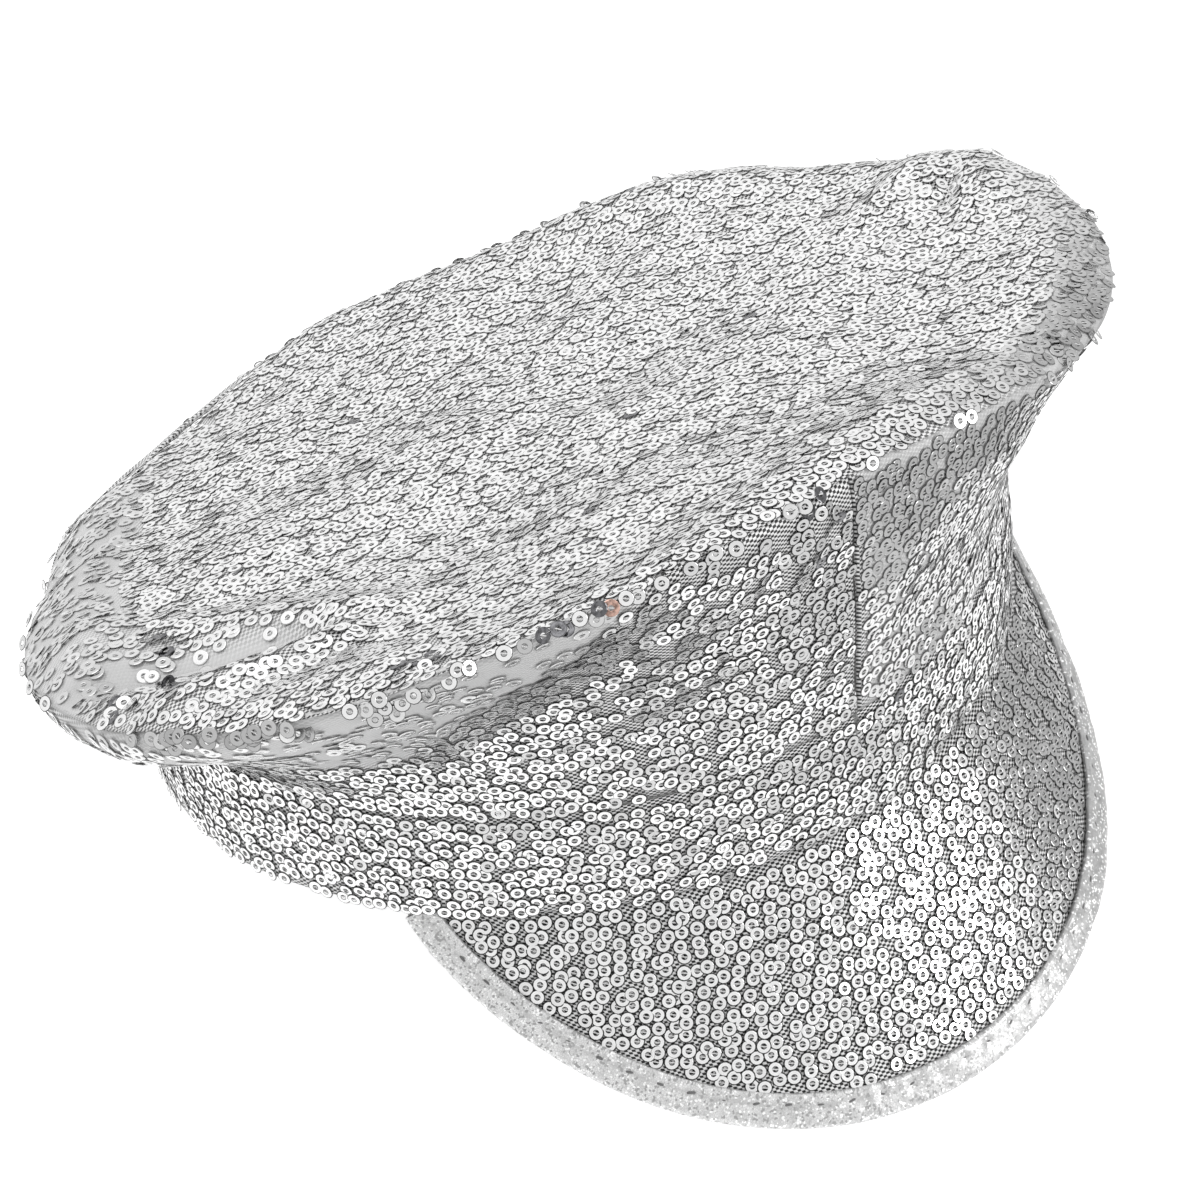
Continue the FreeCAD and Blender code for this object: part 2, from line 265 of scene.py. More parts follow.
def side_height(azimuth):
    """Height of the cloth from the band to the rim's seam, along the section, mm."""
    return side_run(side_controls(azimuth))[-1]


def side_surface(azimuth, share, depth=0.0):
    """Crown's side: azimuth in degrees, share of the cloth's height up from band to rim."""
    a = np.radians(azimuth)
    controls = side_controls(azimuth, depth)
    run = side_run(controls)
    height = run[-1]
    up = np.clip(share, 0.0, 1.0) * height
    t = sum(np.clip((up - low) / (high - low), 0.0, 1.0) for low, high in zip(run, run[1:])) / SECTION_STEPS
    r, z = bezier(controls, t)
    around = azimuth * SIDE_DEGREE
    free = np.sin(np.pi * np.clip(share, 0, 1)) ** 0.6 * smooth(height / 30.0)
    push = lumps(around, up, 11, 46.0, 0.7) + lumps(around, up, 12, 17.0, 0.1)
    for start, end, width, size in SIDE_FOLDS:
        wrapped = (azimuth - start[0] + 180.0) % 360.0 - 180.0 + start[0]
        line = (start[0] * SIDE_DEGREE, start[1]), (end[0] * SIDE_DEGREE, end[1])
        push = push + ridge(wrapped * SIDE_DEGREE, up, *line, width, size)
    push = np.maximum(push, -1.0)
    r = r + push * free * (1.0 if depth == 0 else 0.4)
    return np.stack([r * np.sin(a), -r * np.cos(a), z], -1)


def band_surface(azimuth, height, depth=0.0):
    """Band: azimuth in degrees, height above its lower edge in mm."""
    a = np.radians(azimuth)
    around = azimuth * BAND_DEGREE
    wave = lumps(around, height * 1.0, 21, 42.0, 0.4) + lumps(around, height, 22, 16.0, 0.06)
    flare = 2.2 * bump(azimuth, -80, 22) * np.clip(1.0 - height / 22.0, 0.0, 1.0)
    r = band_radius(azimuth) - depth + flare + wave * (1.0 if depth == 0 else 0.5)
    return np.stack([r * np.sin(a), -r * np.cos(a), height + 0 * azimuth], -1)


def band_point(azimuth):
    a = np.radians(azimuth)
    return np.stack([BAND_HALF_WIDTH * np.sin(a), -BAND_HALF_LENGTH * np.cos(a),
                     np.full(np.shape(a), -VISOR_DROP)], -1)


def visor_down(azimuth):
    share = azimuth / VISOR_HALF_ANGLE
    slope = np.radians(VISOR_SLOPE_MIDDLE + (VISOR_SLOPE_ENDS - VISOR_SLOPE_MIDDLE) * share ** 2)
    return np.stack([0 * slope, -np.cos(slope), -np.sin(slope)], -1)


def visor_width(azimuth):
    share = np.clip(np.abs(azimuth) / VISOR_HALF_ANGLE, 0.0, 1.0)
    return VISOR_REACH * np.sqrt(1.0 - share ** VISOR_FULLNESS)


def visor_surface(azimuth, down, depth=0.0):
    """Visor: azimuth of its ruling on the band in degrees, distance down the ruling in mm."""
    direction = visor_down(azimuth)
    up = np.stack([0 * direction[..., 0], direction[..., 2], -direction[..., 1]], -1)
    dent = lumps(azimuth * 1.6, down, 31, 40.0, 0.3) - depth
    return band_point(azimuth) + direction * down[..., None] + up * dent[..., None]


def normals_of(surface, a, b, step=0.25):
    """Unit normals and the direction of growing a, by small steps on the surface."""
    here = surface(a, b)
    along = surface(a + step, b) - here
    across = surface(a, b + step) - here
    return here, unit(np.cross(along, across)), unit(along)


# ---------------------------------------------------------------- mesh helpers

def add_mesh(name, points, faces, uv=None, smooth_shaded=True):
    """A mesh object from points in mm and quads, with one uv pair in mm for each point."""
    points, faces = np.asarray(points, float).reshape(-1, 3), np.asarray(faces, int)
    mesh = bpy.data.meshes.new(name)
    mesh.vertices.add(len(points))
    mesh.vertices.foreach_set("co", (points * MM).ravel())
    corners = faces.shape[1]
    mesh.loops.add(faces.size)
    mesh.loops.foreach_set("vertex_index", faces.ravel())
    mesh.polygons.add(len(faces))
    mesh.polygons.foreach_set("loop_start", np.arange(len(faces)) * corners)
    mesh.polygons.foreach_set("loop_total", np.full(len(faces), corners))
    if uv is not None:
        layer = mesh.uv_layers.new(name="cut")
        layer.data.foreach_set("uv", (np.asarray(uv, float).reshape(-1, 2) * MM)[faces.ravel()].ravel())
    mesh.update(calc_edges=True)
    mesh.validate()
    mesh.polygons.foreach_set("use_smooth", np.full(len(mesh.polygons), smooth_shaded))
    piece = bpy.data.objects.new(name, mesh)
    bpy.context.scene.collection.objects.link(piece)
    return piece


def grid_faces(rows, columns, closed=False):
    """Quads of a grid of points; closed joins the last column to the first."""
    i, j = np.meshgrid(np.arange(rows - 1), np.arange(columns if closed else columns - 1), indexing="ij")
    k = (j + 1) % columns
    return np.stack([i * columns + j, i * columns + k, (i + 1) * columns + k, (i + 1) * columns + j],
                    -1).reshape(-1, 4)


def thicken(piece, thickness, side=-1.0):
    """Gives a sheet its thickness in mm, to the back of its faces."""
    solid = piece.modifiers.new("thickness", "SOLIDIFY")
    solid.thickness = thickness * MM
    solid.offset = side
    solid.use_even_offset = False
    depsgraph = bpy.context.evaluated_depsgraph_get()
    piece.data = bpy.data.meshes.new_from_object(piece.evaluated_get(depsgraph))
    piece.modifiers.clear()
    return piece


def set_point_values(piece, name, values):
    attribute = piece.data.attributes.new(name, "FLOAT", "POINT")
    attribute.data.foreach_set("value", np.asarray(values, np.float32))


def finish_piece(piece, material, replaced=()):
    if material is not None:
        piece.data.materials.clear()
        piece.data.materials.append(material)
    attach(piece, "root")
    if replaced:
        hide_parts(*replaced)
    return piece


def turn_outward(piece, direction):
    """Makes the mesh's faces look along direction, on the whole."""
    mesh = piece.data
    total = sum((p.normal * p.area for p in mesh.polygons), Vector())
    if total.dot(Vector(direction)) < 0:
        mesh.flip_normals()


def sheet_piece(name, points, uv, thickness, material, node, closed=False, face=None, side=-1.0):
    """A thickened grid of points that takes a CAD node's place. face is the way its front looks."""
    piece = add_mesh(name, points, grid_faces(*points.shape[:2], closed=closed), uv)
    if face:
        turn_outward(piece, face)
    thicken(piece, thickness, side)
    return finish_piece(piece, material, [node])


# ---------------------------------------------------------------- materials

class Shader:
    """A material's node tree, with short ways to add and join nodes."""

    def __init__(self, name):
        self.material = bpy.data.materials.new(name)
        self.material.use_nodes = True
        self.tree = self.material.node_tree
        self.surface = self.tree.nodes["Principled BSDF"]

    def node(self, kind, inputs=None, **settings):
        made = self.tree.nodes.new("ShaderNode" + kind)
        for key, value in settings.items():
            setattr(made, key, value)
        for key, value in (inputs or {}).items():
            self.put(value, made.inputs[key])
        return made

    def put(self, value, socket):
        if isinstance(value, bpy.types.NodeSocket):
            self.tree.links.new(value, socket)
        else:
            socket.default_value = value

    def maths(self, operation, a, b=0.0, c=0.0):
        made = self.node("Math", {0: a, 1: b, 2: c}, operation=operation)
        return made.outputs[0]

    def remap(self, value, low, high, to_low=0.0, to_high=1.0):
        made = self.node("MapRange", {0: value, 1: low, 2: high, 3: to_low, 4: to_high})
        return made.outputs[0]

    def mix(self, share, a, b):
        made = self.node("Mix", data_type="RGBA")
        self.put(share, made.inputs[0])
        self.put(a, made.inputs[6])
        self.put(b, made.inputs[7])
        return made.outputs[2]

    def noise(self, vector, scale, detail):
        return self.node("TexNoise", {"Vector": vector, "Scale": scale, "Detail": detail}).outputs[0]

    def place(self):
        return self.node("TexCoord").outputs["Object"]

    def cut(self):
        """The piece's own flat coordinates, in metres."""
        return self.node("UVMap", uv_map="cut").outputs[0]

    def bump(self, height, distance, strength=1.0):
        made = self.node("Bump", {"Height": height, "Distance": distance, "Strength": strength})
        self.tree.links.new(made.outputs[0], self.surface.inputs["Normal"])

    def set(self, **values):
        for key, value in values.items():
            self.put(value, self.surface.inputs[key.replace("_", " ")])


def grey(value, warmth=0.0):
    return (value + warmth, value, value - warmth, 1.0)


def knit_material(name, light, dark, first_hole, full_hole):
    """Fine knit: pale loops round rows of pinholes, set by the cloth's own flat coordinates.
    Where a point attribute marks the cloth slack, the pinholes close up and painted shade darkens it."""
    s = Shader(name)
    uv = s.cut()
    xyz = s.node("SeparateXYZ", {0: uv})
    turn = 2 * math.pi / (KNIT_PITCH * MM)
    wobble = s.noise(uv, 260.0, 2.0)
    shift = s.maths("MULTIPLY", wobble, 3.0)
    u = s.maths("MULTIPLY_ADD", xyz.outputs[0], turn * 0.5, shift)
    v = s.maths("MULTIPLY_ADD", xyz.outputs[1], turn * 0.72, shift)
    first = s.maths("COSINE", s.maths("ADD", u, v))
    second = s.maths("COSINE", s.maths("SUBTRACT", u, v))
    lattice = s.maths("MULTIPLY_ADD", first, 0.5, s.maths("MULTIPLY", second, 0.5))
    plain_knit_and_painted_shade = s.node("Attribute", attribute_name="plain_knit_and_painted_shade").outputs["Fac"]
    hole = s.maths("MULTIPLY", s.remap(lattice, first_hole, full_hole), s.remap(plain_knit_and_painted_shade, 0.0, 0.8, 1.0, 0.06))
    loops = s.remap(lattice, -0.9, 0.3, 1.0, 0.55)
    blotch = s.noise(uv, 70.0, 3.0)
    base = s.mix(s.remap(blotch, 0.3, 0.7), grey(light * 0.86), grey(light))
    base = s.mix(s.remap(loops, 0.55, 1.0), grey(light * 0.86), base)
    # Painted shade: the knit darker where the cloth is slack.
    base = s.mix(s.remap(plain_knit_and_painted_shade, 0.2, 1.0), base, grey(light * 0.6))
    s.set(Base_Color=s.mix(hole, base, grey(dark)), Metallic=0.25, Roughness=0.48,
          Sheen_Weight=0.2)
    s.bump(s.maths("SUBTRACT", loops, hole), 0.00018, 0.7)
    return s.material


def sequin_material():
    """Silvered plastic: each sequin has its own tone, with painted shade added where the cap lies in shade,
    and its rim turns down, with painted shade on its outer edge and round its hole.
    """
    s = Shader("silver_sequin")
    shade = s.node("Attribute", attribute_name="shade").outputs["Fac"]
    edge = s.node("Attribute", attribute_name="edge").outputs["Fac"]
    place = s.place()
    haze = s.noise(place, 900.0, 2.0)
    # The shade attribute is each sequin's own tone plus painted shade where the cap is shaded.
    face = s.mix(s.remap(shade, 0.0, 1.8), grey(0.95), grey(0.40))
    face = s.mix(s.remap(haze, 0.35, 0.75, 0.0, 0.12), face, grey(0.6))
    # Painted shade: the edge attribute darkens each sequin's outer edge and the ring round its hole.
    rim = s.mix(s.remap(edge, 0.03, 0.4), face, grey(0.02))
    s.set(Base_Color=rim, Metallic=1.0, Roughness=s.remap(haze, 0.3, 0.8, 0.16, 0.34))
    return s.material


def plain_metal_sequin(name, colour, roughness):
    """A few odd sequins: turned over or of another foil."""
    s = Shader(name)
    place = s.place()
    haze = s.noise(place, 1200.0, 2.0)
    darker = tuple(c * 0.35 for c in colour[:3]) + (1.0,)
    s.set(Base_Color=s.mix(s.remap(haze, 0.4, 0.7), colour, darker), Metallic=1.0, Roughness=roughness)
    return s.material


def thread_material(name, value):
    s = Shader(name)
    place = s.place()
    twist = s.node("TexWave", {"Vector": place, "Scale": 1400.0, "Distortion": 1.5}).outputs["Fac"]
    s.set(Base_Color=s.mix(twist, grey(value * 0.6), grey(value)), Roughness=0.7, Sheen_Weight=0.3)
    return s.material


def foil_tape_material():
    """Crackled silver lame on a pale tape: bright flecks between hairline cracks, with painted shade making
    it darker towards the wearer's left and along its stitch channel.
    """
    s = Shader("crackled_foil_tape")
    uv = s.cut()
    cracks = s.node("TexVoronoi", {"Vector": uv, "Scale": 2300.0}, feature="DISTANCE_TO_EDGE").outputs[0]
    cells = s.node("TexVoronoi", {"Vector": uv, "Scale": 2300.0}).outputs["Color"]
    cell = s.node("SeparateXYZ", {0: cells}).outputs[0]
    soft = s.noise(uv, 380.0, 4.0)
    across = s.node("SeparateXYZ", {0: s.place()}).outputs[0]
    # Painted shade: the tape darker towards +x, the wearer's left.
    painted_shade_along_x = s.remap(across, -0.08, 0.05)
    base = s.mix(s.remap(soft, 0.3, 0.7), grey(0.68), grey(0.90))
    base = s.mix(painted_shade_along_x, base, s.mix(s.remap(soft, 0.3, 0.7), grey(0.36), grey(0.54)))
    base = s.mix(s.remap(cell, 0.80, 0.86), base, grey(1.0))
    base = s.mix(s.remap(cell, 0.16, 0.10), base, grey(0.38))
    base = s.mix(s.remap(cracks, 0.12, 0.02, 0.0, 0.5), base, grey(0.35))
    inset = s.node("SeparateXYZ", {0: uv}).outputs[1]
    # Painted shade along the stitch channel.
    stitch_channel_painted_shade = s.maths("ABSOLUTE", s.maths("SUBTRACT", inset, 2.6 * MM))
    base = s.mix(s.remap(stitch_channel_painted_shade, 0.0, 0.9 * MM, 0.45, 0.0), base, grey(0.42))
    s.set(Base_Color=base, Metallic=0.55, Roughness=s.remap(soft, 0.3, 0.7, 0.3, 0.5))
    height = s.maths("MULTIPLY_ADD", cell, 0.6, s.maths("MULTIPLY", soft, 0.8))
    s.bump(height, 0.0003, 0.9)
    return s.material


def satin_material(name, value, scale=1.0):
    """Fine woven lining: warp and weft with a soft sheen."""
    s = Shader(name)
    uv = s.cut()
    xyz = s.node("SeparateXYZ", {0: uv})
    turn = 2 * math.pi / (0.45 * MM * scale)
    warp = s.maths("SINE", s.maths("MULTIPLY", xyz.outputs[0], turn))
    weft = s.maths("SINE", s.maths("MULTIPLY", xyz.outputs[1], turn))
    weave = s.maths("MULTIPLY", warp, weft)
    soft = s.noise(uv, 60.0, 4.0)
    base = s.mix(s.remap(weave, -1.0, 1.0), grey(value * 0.84), grey(value))
    base = s.mix(s.remap(soft, 0.35, 0.7, 0.0, 0.3), base, grey(value * 0.8))
    s.set(Base_Color=base, Roughness=0.42, Sheen_Weight=0.4)
    s.bump(weave, 0.00006, 0.6)
    return s.material


def board_material(name, value):
    """Plain off-white sheet, faintly mottled."""
    s = Shader(name)
    place = s.place()
    soft = s.noise(place, 220.0, 5.0)
    s.set(Base_Color=s.mix(soft, grey(value * 0.85, 0.01), grey(value, 0.01)), Roughness=0.6)
    s.bump(soft, 0.0001, 0.5)
    return s.material


KNIT = knit_material("silver_knit", 0.86, 0.01, -0.06, 0.16)
KNIT_VISOR = knit_material("silver_knit_pulled_flat", 0.80, 0.01, -0.05, 0.14)
SEQUIN = sequin_material()
SEQUIN_BLACK = plain_metal_sequin("turned_sequin", (0.20, 0.20, 0.21, 1.0), 0.2)
SEQUIN_COPPER = plain_metal_sequin("copper_sequin", (0.74, 0.49, 0.41, 1.0), 0.35)
SEQUIN_THREAD = thread_material("sequin_thread", 0.8)
STITCH_THREAD = thread_material("stitch_thread", 0.16)
PALE_THREAD = thread_material("pale_thread", 0.7)
FOIL_TAPE = foil_tape_material()
SATIN = satin_material("lining_satin", 0.66)
SWEAT_TAPE = satin_material("sweatband_tape", 0.58, 2.4)
BOARD = board_material("visor_board_sheet", 0.8)
BUCKRAM = board_material("buckram", 0.84)


# ---------------------------------------------------------------- sequins

def scattered(u_low, u_high, v_low, v_high, pitch=SEQUIN_PITCH, jitter=0.3):
    """Sequin places on flat cloth: staggered rows, each place shifted at random."""
    row_gap = pitch * 0.88
    rows = np.arange(v_low, v_high, row_gap)
    u, v = np.meshgrid(np.arange(u_low, u_high, pitch), rows)
    u = u + (np.arange(len(rows)) % 2)[:, None] * pitch / 2 + rng.normal(0, 0.25, len(rows))[:, None] * pitch
    u = u + rng.normal(0, jitter, u.shape) * pitch
    v = v + rng.normal(0, jitter * 0.8, v.shape) * pitch
    return u.ravel(), v.ravel()


SEGMENTS = 14


def sequin_mesh(name, places, normal, along, lean=3.0, unrest=3.2, lift=0.30,
                turned=0.003, tone_and_painted_shade=0.0, kinds=None, painted_edge_shade=1.0, bevel=0.19):
    """Rings laid on the cloth like loose scales. places, normal and along are arrays in mm.
    For each sequin or for all: lean and unrest tip it, in degrees, turned is its chance of lying
    dark side up, tone_and_painted_shade darkens it (an even tone, or painted shade where it follows
    shaded places; below 0 painted lighter) and painted_edge_shade is how dark the painted shade on
    its edges and round its hole is. bevel is the width of the edge. kinds can state every sequin
    instead: 0 silver, 2 turned over, 3 copper."""
    count = len(places)
    # From the hole outwards: radius, drop below the face, darkness of the painted shade at the edge and
    # round the hole.
    loops = ((SEQUIN_HOLE, 0.05, 1.0), (SEQUIN_HOLE + 0.15, 0.0, 0.0),
             (SEQUIN_RADIUS - bevel, 0.0, 0.0), (SEQUIN_RADIUS, 0.09, 1.0))
    across = np.cross(normal, along)
    tilt_a = np.radians(rng.normal(0, unrest, count))[:, None]
    tilt_b = np.radians(rng.normal(lean, unrest, count))[:, None]
    axis = unit(normal + along * np.tan(tilt_a) + across * np.tan(tilt_b))
    first = unit(np.cross(axis, across + 0.3 * along))
    second = np.cross(axis, first)
    centre = places + normal * (lift + 0.14 * rng.random((count, 1)))
    turn = np.linspace(0, 2 * math.pi, SEGMENTS, endpoint=False) + rng.random((count, 1)) * 0.4
    size = 1.0 + rng.normal(0, 0.02, (count, 1, 1))
    spread = np.cos(turn)[..., None] * first[:, None] + np.sin(turn)[..., None] * second[:, None]
    points = np.stack([centre[:, None] + spread * radius * size - axis[:, None] * drop
                       for radius, drop, _ in loops], 1)
    bar_half, bar_wide = first * (SEQUIN_HOLE * 1.2), second * 0.10
    base = centre + normal * 0.02
    bars = np.stack([base - bar_half - bar_wide, base + bar_half - bar_wide,
                     base + bar_half + bar_wide, base - bar_half + bar_wide], 1)
    ring_count = len(loops) * SEGMENTS
    j = np.arange(SEGMENTS)
    k = (j + 1) % SEGMENTS
    one = np.concatenate([np.stack([i * SEGMENTS + j, (i + 1) * SEGMENTS + j,
                                    (i + 1) * SEGMENTS + k, i * SEGMENTS + k], -1)
                          for i in range(len(loops) - 1)])
    ring_faces = (np.arange(count)[:, None, None] * ring_count + one).reshape(-1, 4)
    bar_faces = count * ring_count + np.arange(count * 4).reshape(-1, 4)
    piece = add_mesh(name, np.concatenate([points.reshape(-1, 3), bars.reshape(-1, 3)]),
                     np.concatenate([ring_faces, bar_faces]), smooth_shaded=False)
    # A random tone for each sequin, plus a darkening that is painted shade where it follows the cap's shaded
    # places.
    shade = np.clip(rng.normal(0.14, 0.11, count), 0.0, 1.0) + tone_and_painted_shade
    # Painted shade on each sequin's outer edge and round its hole.
    edge = np.repeat([dark for _, _, dark in loops], SEGMENTS)
    edge = (np.broadcast_to(painted_edge_shade, count)[:, None] * edge).ravel()
    set_point_values(piece, "shade", np.concatenate([np.repeat(shade, ring_count), np.zeros(count * 4)]))
    set_point_values(piece, "edge", np.concatenate([edge, np.zeros(count * 4)]))
    if kinds is None:
        kinds = np.where(rng.random(count) < turned, 2, 0)
    for material in (SEQUIN, SEQUIN_THREAD, SEQUIN_BLACK, SEQUIN_COPPER):
        piece.data.materials.append(material)
    faces = np.concatenate([np.repeat(kinds, len(one)), np.ones(count, int)])
    piece.data.polygons.foreach_set("material_index", faces)
    return finish_piece(piece, None)


# ---------------------------------------------------------------- crown

def make_top():
    """The flat top, its edge turned down into the rim's seam."""
    shares = np.concatenate([np.linspace(0.02, 0.84, 44), np.linspace(0.86, 1.0, 15)])
    azimuths = np.linspace(0, 360, 360, endpoint=False)
    share, azimuth = np.meshgrid(shares, azimuths, indexing="ij")
    r = share * rim_radius(azimuth)
    x, y = r * np.sin(np.radians(azimuth)), -r * np.cos(np.radians(azimuth))
    points = top_surface(x, y)
    inward = points[-1] * [0.985, 0.985, 1.0] - [0, 0, 1.3]
    points = np.concatenate([points, inward[None]])
    uv = np.concatenate([np.stack([x, y], -1), np.stack([x[-1], y[-1]], -1)[None] * 1.015])
    faces = grid_faces(len(points), len(azimuths), closed=True)[:, ::-1]
    middle = len(points) * len(azimuths)
    hub = top_surface(np.zeros(1), np.zeros(1))
    ring = np.arange(len(azimuths))
    cap = np.stack([ring, np.roll(ring, -1), np.full(len(ring), middle), np.full(len(ring), middle)], -1)
    all_points = np.concatenate([points.reshape(-1, 3), hub])
    piece = add_mesh("crown_top_cloth", all_points, faces, np.concatenate([uv.reshape(-1, 2), [[0, 0]]]))
    # The top's fold, shoulder and roll: knit without pinholes and with painted shade.
    set_point_values(piece, "plain_knit_and_painted_shade", np.clip(sum(top_slack_and_painted_shade(all_points[:, 0], all_points[:, 1])), 0.0, 1.0))
    fill = add_hub(piece, cap[:, :3])
    thicken(fill, CLOTH)
    return finish_piece(fill, KNIT, ["crown_top_panel"])


def add_hub(piece, triangles):
    """Closes the middle of the top with a fan of triangles."""
    mesh = bmesh.new()
    mesh.from_mesh(piece.data)
    mesh.verts.ensure_lookup_table()
    layer = mesh.loops.layers.uv.active
    for a, b, c in triangles:
        face = mesh.faces.new([mesh.verts[int(k)] for k in (a, b, c)])
        face.smooth = True
        for corner in face.loops:
            corner[layer].uv = (corner.vert.co.x, corner.vert.co.y)
    bmesh.ops.recalc_face_normals(mesh, faces=mesh.faces)
    mesh.to_mesh(piece.data)
    mesh.free()
    return piece


def top_slack_and_painted_shade(x, y):
    """Where the top hangs slack, and where painted shade darkens it: its fold, its shoulder on the right and
    its left roll.
    """
    azimuth = np.degrees(np.arctan2(x, -y))
    share = np.hypot(x, y) / rim_radius(azimuth)
    fold = ridge(x, y, (-117, -13), (-86, -38), 7.5, 1.0)
    shoulder = smooth((share - 0.77) / 0.06) * bump(azimuth, -116, 34)
    roll = smooth((share - 0.87) / 0.07) * bump(azimuth, 46, 24)
    return fold, shoulder, roll


# Plan positions on the top where a few sequins have turned dark side up, rounded from places that
# a scratch script carried over from the photograph.
DARK_PATCHES = ((-98, -14), (-94, -37), (-98, -39), (-110, -35), (-117, -29), (-84, -82))


def top_sequins():
    reach = RIM_RADIUS + 32
    u, v = scattered(-reach, reach, -reach, reach, 2.62, 0.2)
    heading = math.radians(24)
    x = u * math.cos(heading) - v * math.sin(heading)
    y = u * math.sin(heading) + v * math.cos(heading)
    azimuth = np.degrees(np.arctan2(x, -y))
    share = np.hypot(x, y) / rim_radius(azimuth)
    fold, shoulder, roll = top_slack_and_painted_shade(x, y)
    keep = (share < 0.996) & (rng.random(len(x)) > 0.8 * fold + 0.4 * shoulder)
    x, y = x[keep], y[keep]
    places, normal, along = normals_of(top_surface, x, y)
    normal[normal[:, 2] < 0] *= -1
    azimuth, share = azimuth[keep], share[keep]
    fold, shoulder, roll = fold[keep], shoulder[keep], roll[keep]
    slack = np.clip(fold + shoulder + roll, 0.0, 1.0)
    patch = sum(np.exp(-((x - px) ** 2 + (y - py) ** 2) / 9.0) for px, py in DARK_PATCHES)
    turned = 0.0015 + 0.5 * patch
    unrest = 2.7 + 3.0 * slack + 22.0 * patch
    # Painted shade: sequins greyer in the fold, on the right shoulder and on the left roll, where the top
    # lies in shade.
    tone_and_painted_shade = 0.9 * fold + 0.9 * shoulder + 1.5 * roll
    edge_row = smooth((share - 0.93) / 0.03) * bump(azimuth, -10, 50)
    # Painted shade at the sequins' edges, fainter where the top is slack and darker along the front rim row.
    painted_edge_shade = 0.42 * (1.0 - 0.9 * slack) + 0.5 * edge_row
    for name, part in (("left_front", (y < 0) & (x > 0)), ("left_back", (y >= 0) & (x > 0)),
                       ("right_back", (y >= 0) & (x <= 0)), ("right_front", (y < 0) & (x <= 0))):
        sequin_mesh(f"crown_top_sequins_{name}", places[part], normal[part], along[part], 2.5,
                    unrest[part], turned=turned[part], tone_and_painted_shade=tone_and_painted_shade[part], painted_edge_shade=painted_edge_shade[part])


QUARTERS = (("front_left", 0.0), ("rear_left", 90.0), ("rear_right", 180.0), ("front_right", 270.0))


def make_side(name, start):
    """One quarter of the crown's side, with its edges turned in at all four seams."""
    azimuths = start + np.concatenate([[0.0], np.linspace(0.35, 89.65, 88), [90.0]])
    shares = np.linspace(0.0, 1.0, 34)
    share, azimuth = np.meshgrid(shares, azimuths, indexing="ij")
    points = side_surface(azimuth, share)
    tuck = np.zeros(azimuth.shape)
    tuck[:, 0] = tuck[:, -1] = 0.8
    tuck[0] = 0.5
    tuck[-1] = 0.7
    points = points - outward_of(azimuth) * tuck[..., None]
    uv = np.stack([azimuth * SIDE_DEGREE, share * side_height(azimuth)], -1)
    piece = add_mesh(f"crown_{name}_cloth", points, grid_faces(len(shares), len(azimuths)), uv)
    front = (azimuth + 180.0) % 360.0 - 180.0
    # In the fold and on the flank: knit without pinholes and with painted shade.
    plain_knit_and_painted_shade = 0.7 * (fold_cover(front, share) + right_flank(front))
    set_point_values(piece, "plain_knit_and_painted_shade", np.clip(plain_knit_and_painted_shade, 0.0, 1.0).ravel())
    thicken(piece, CLOTH)
    return finish_piece(piece, KNIT, [f"crown_{name}_panel"])


def side_by_height(azimuth, up):
    return side_surface(azimuth, up / np.maximum(side_height(azimuth), 1.0))


def fold_cover(azimuth, share):
    """1 in the smooth fold under the rim at the wearer's right front, 0 elsewhere."""
    low = np.clip(0.2 + (azimuth + 54.0) * 0.0267, 0.2, 1.0)
    return smooth((share - low) / 0.08) * smooth((azimuth + 90.0) / 14.0) * smooth((-22.0 - azimuth) / 6.0)


def right_flank(azimuth):
    """1 on the smooth flank from the front seam round to the wearer's left, 0 elsewhere."""
    return smooth(azimuth / 3.0) * smooth((78.0 - azimuth) / 20.0)


def side_sequins(name, start):
    """Rows of sequins up the side. They thin out beside the seams, where the knit shows."""
    degrees_per_mm = 1 / 1.82
    wide = 90 / degrees_per_mm
    u, v = scattered(0.8, wide - 0.8, 1.0, 76.0, 2.75, 0.2)
    azimuth = start + u * degrees_per_mm
    front = (azimuth + 180.0) % 360.0 - 180.0
    height = side_height(azimuth)
    top_gap = np.where(np.cos(np.radians(azimuth)) > 0, 2.6, 1.6)
    sparse = rng.random(len(u)) < 0.28
    thin = 0.16 * bump(front, -22, 22) + 0.3 * bump(front, -12, 9) * smooth((v - height + 22.0) / 10.0)
    keep = (v > 0.5) & (v < height - np.where(sparse, 1.2, top_gap)) & (u > 0.5) & (u < wide - 0.8)
    keep &= rng.random(len(u)) > thin + 0.5 * fold_cover(front, v / height)
    azimuth, front, v, height = azimuth[keep], front[keep], v[keep], height[keep]
    places, normal, along = normals_of(side_by_height, azimuth, v, 0.15)
    normal[(normal * outward_of(azimuth)).sum(1) < 0] *= -1
    fold = fold_cover(front, v / height)
    upper = smooth(v / height * 2.0 - 0.9)
    flank = right_flank(front)
    strip = bump(front, 2.0, 1.6)
    crease = bump(front, -4.5, 2.0) * smooth((v - 44.0) / 4.0)
    # Painted shade: sequins greyer high up near azimuth 54, in the fold and on the flank; the 0.12 is an
    # even darker tone everywhere.
    tone_and_painted_shade = upper * 0.6 * bump(front, 54, 16) + 0.3 * fold + 0.4 * flank + 0.12
    # Painted shade at the sequins' edges, fainter in the fold, on the flank and on the front strip.
    painted_edge_shade = 1.0 - 0.88 * fold - 0.55 * flank * (1.0 - 0.3 * upper) - 0.2 * strip
    sequin_mesh(f"crown_{name}_sequins", places, normal, along, -3.0, 2.8 + 14.0 * crease, bevel=0.24,
                turned=0.001 + 0.4 * crease, tone_and_painted_shade=tone_and_painted_shade, painted_edge_shade=np.clip(painted_edge_shade, 0.1, 1.0))


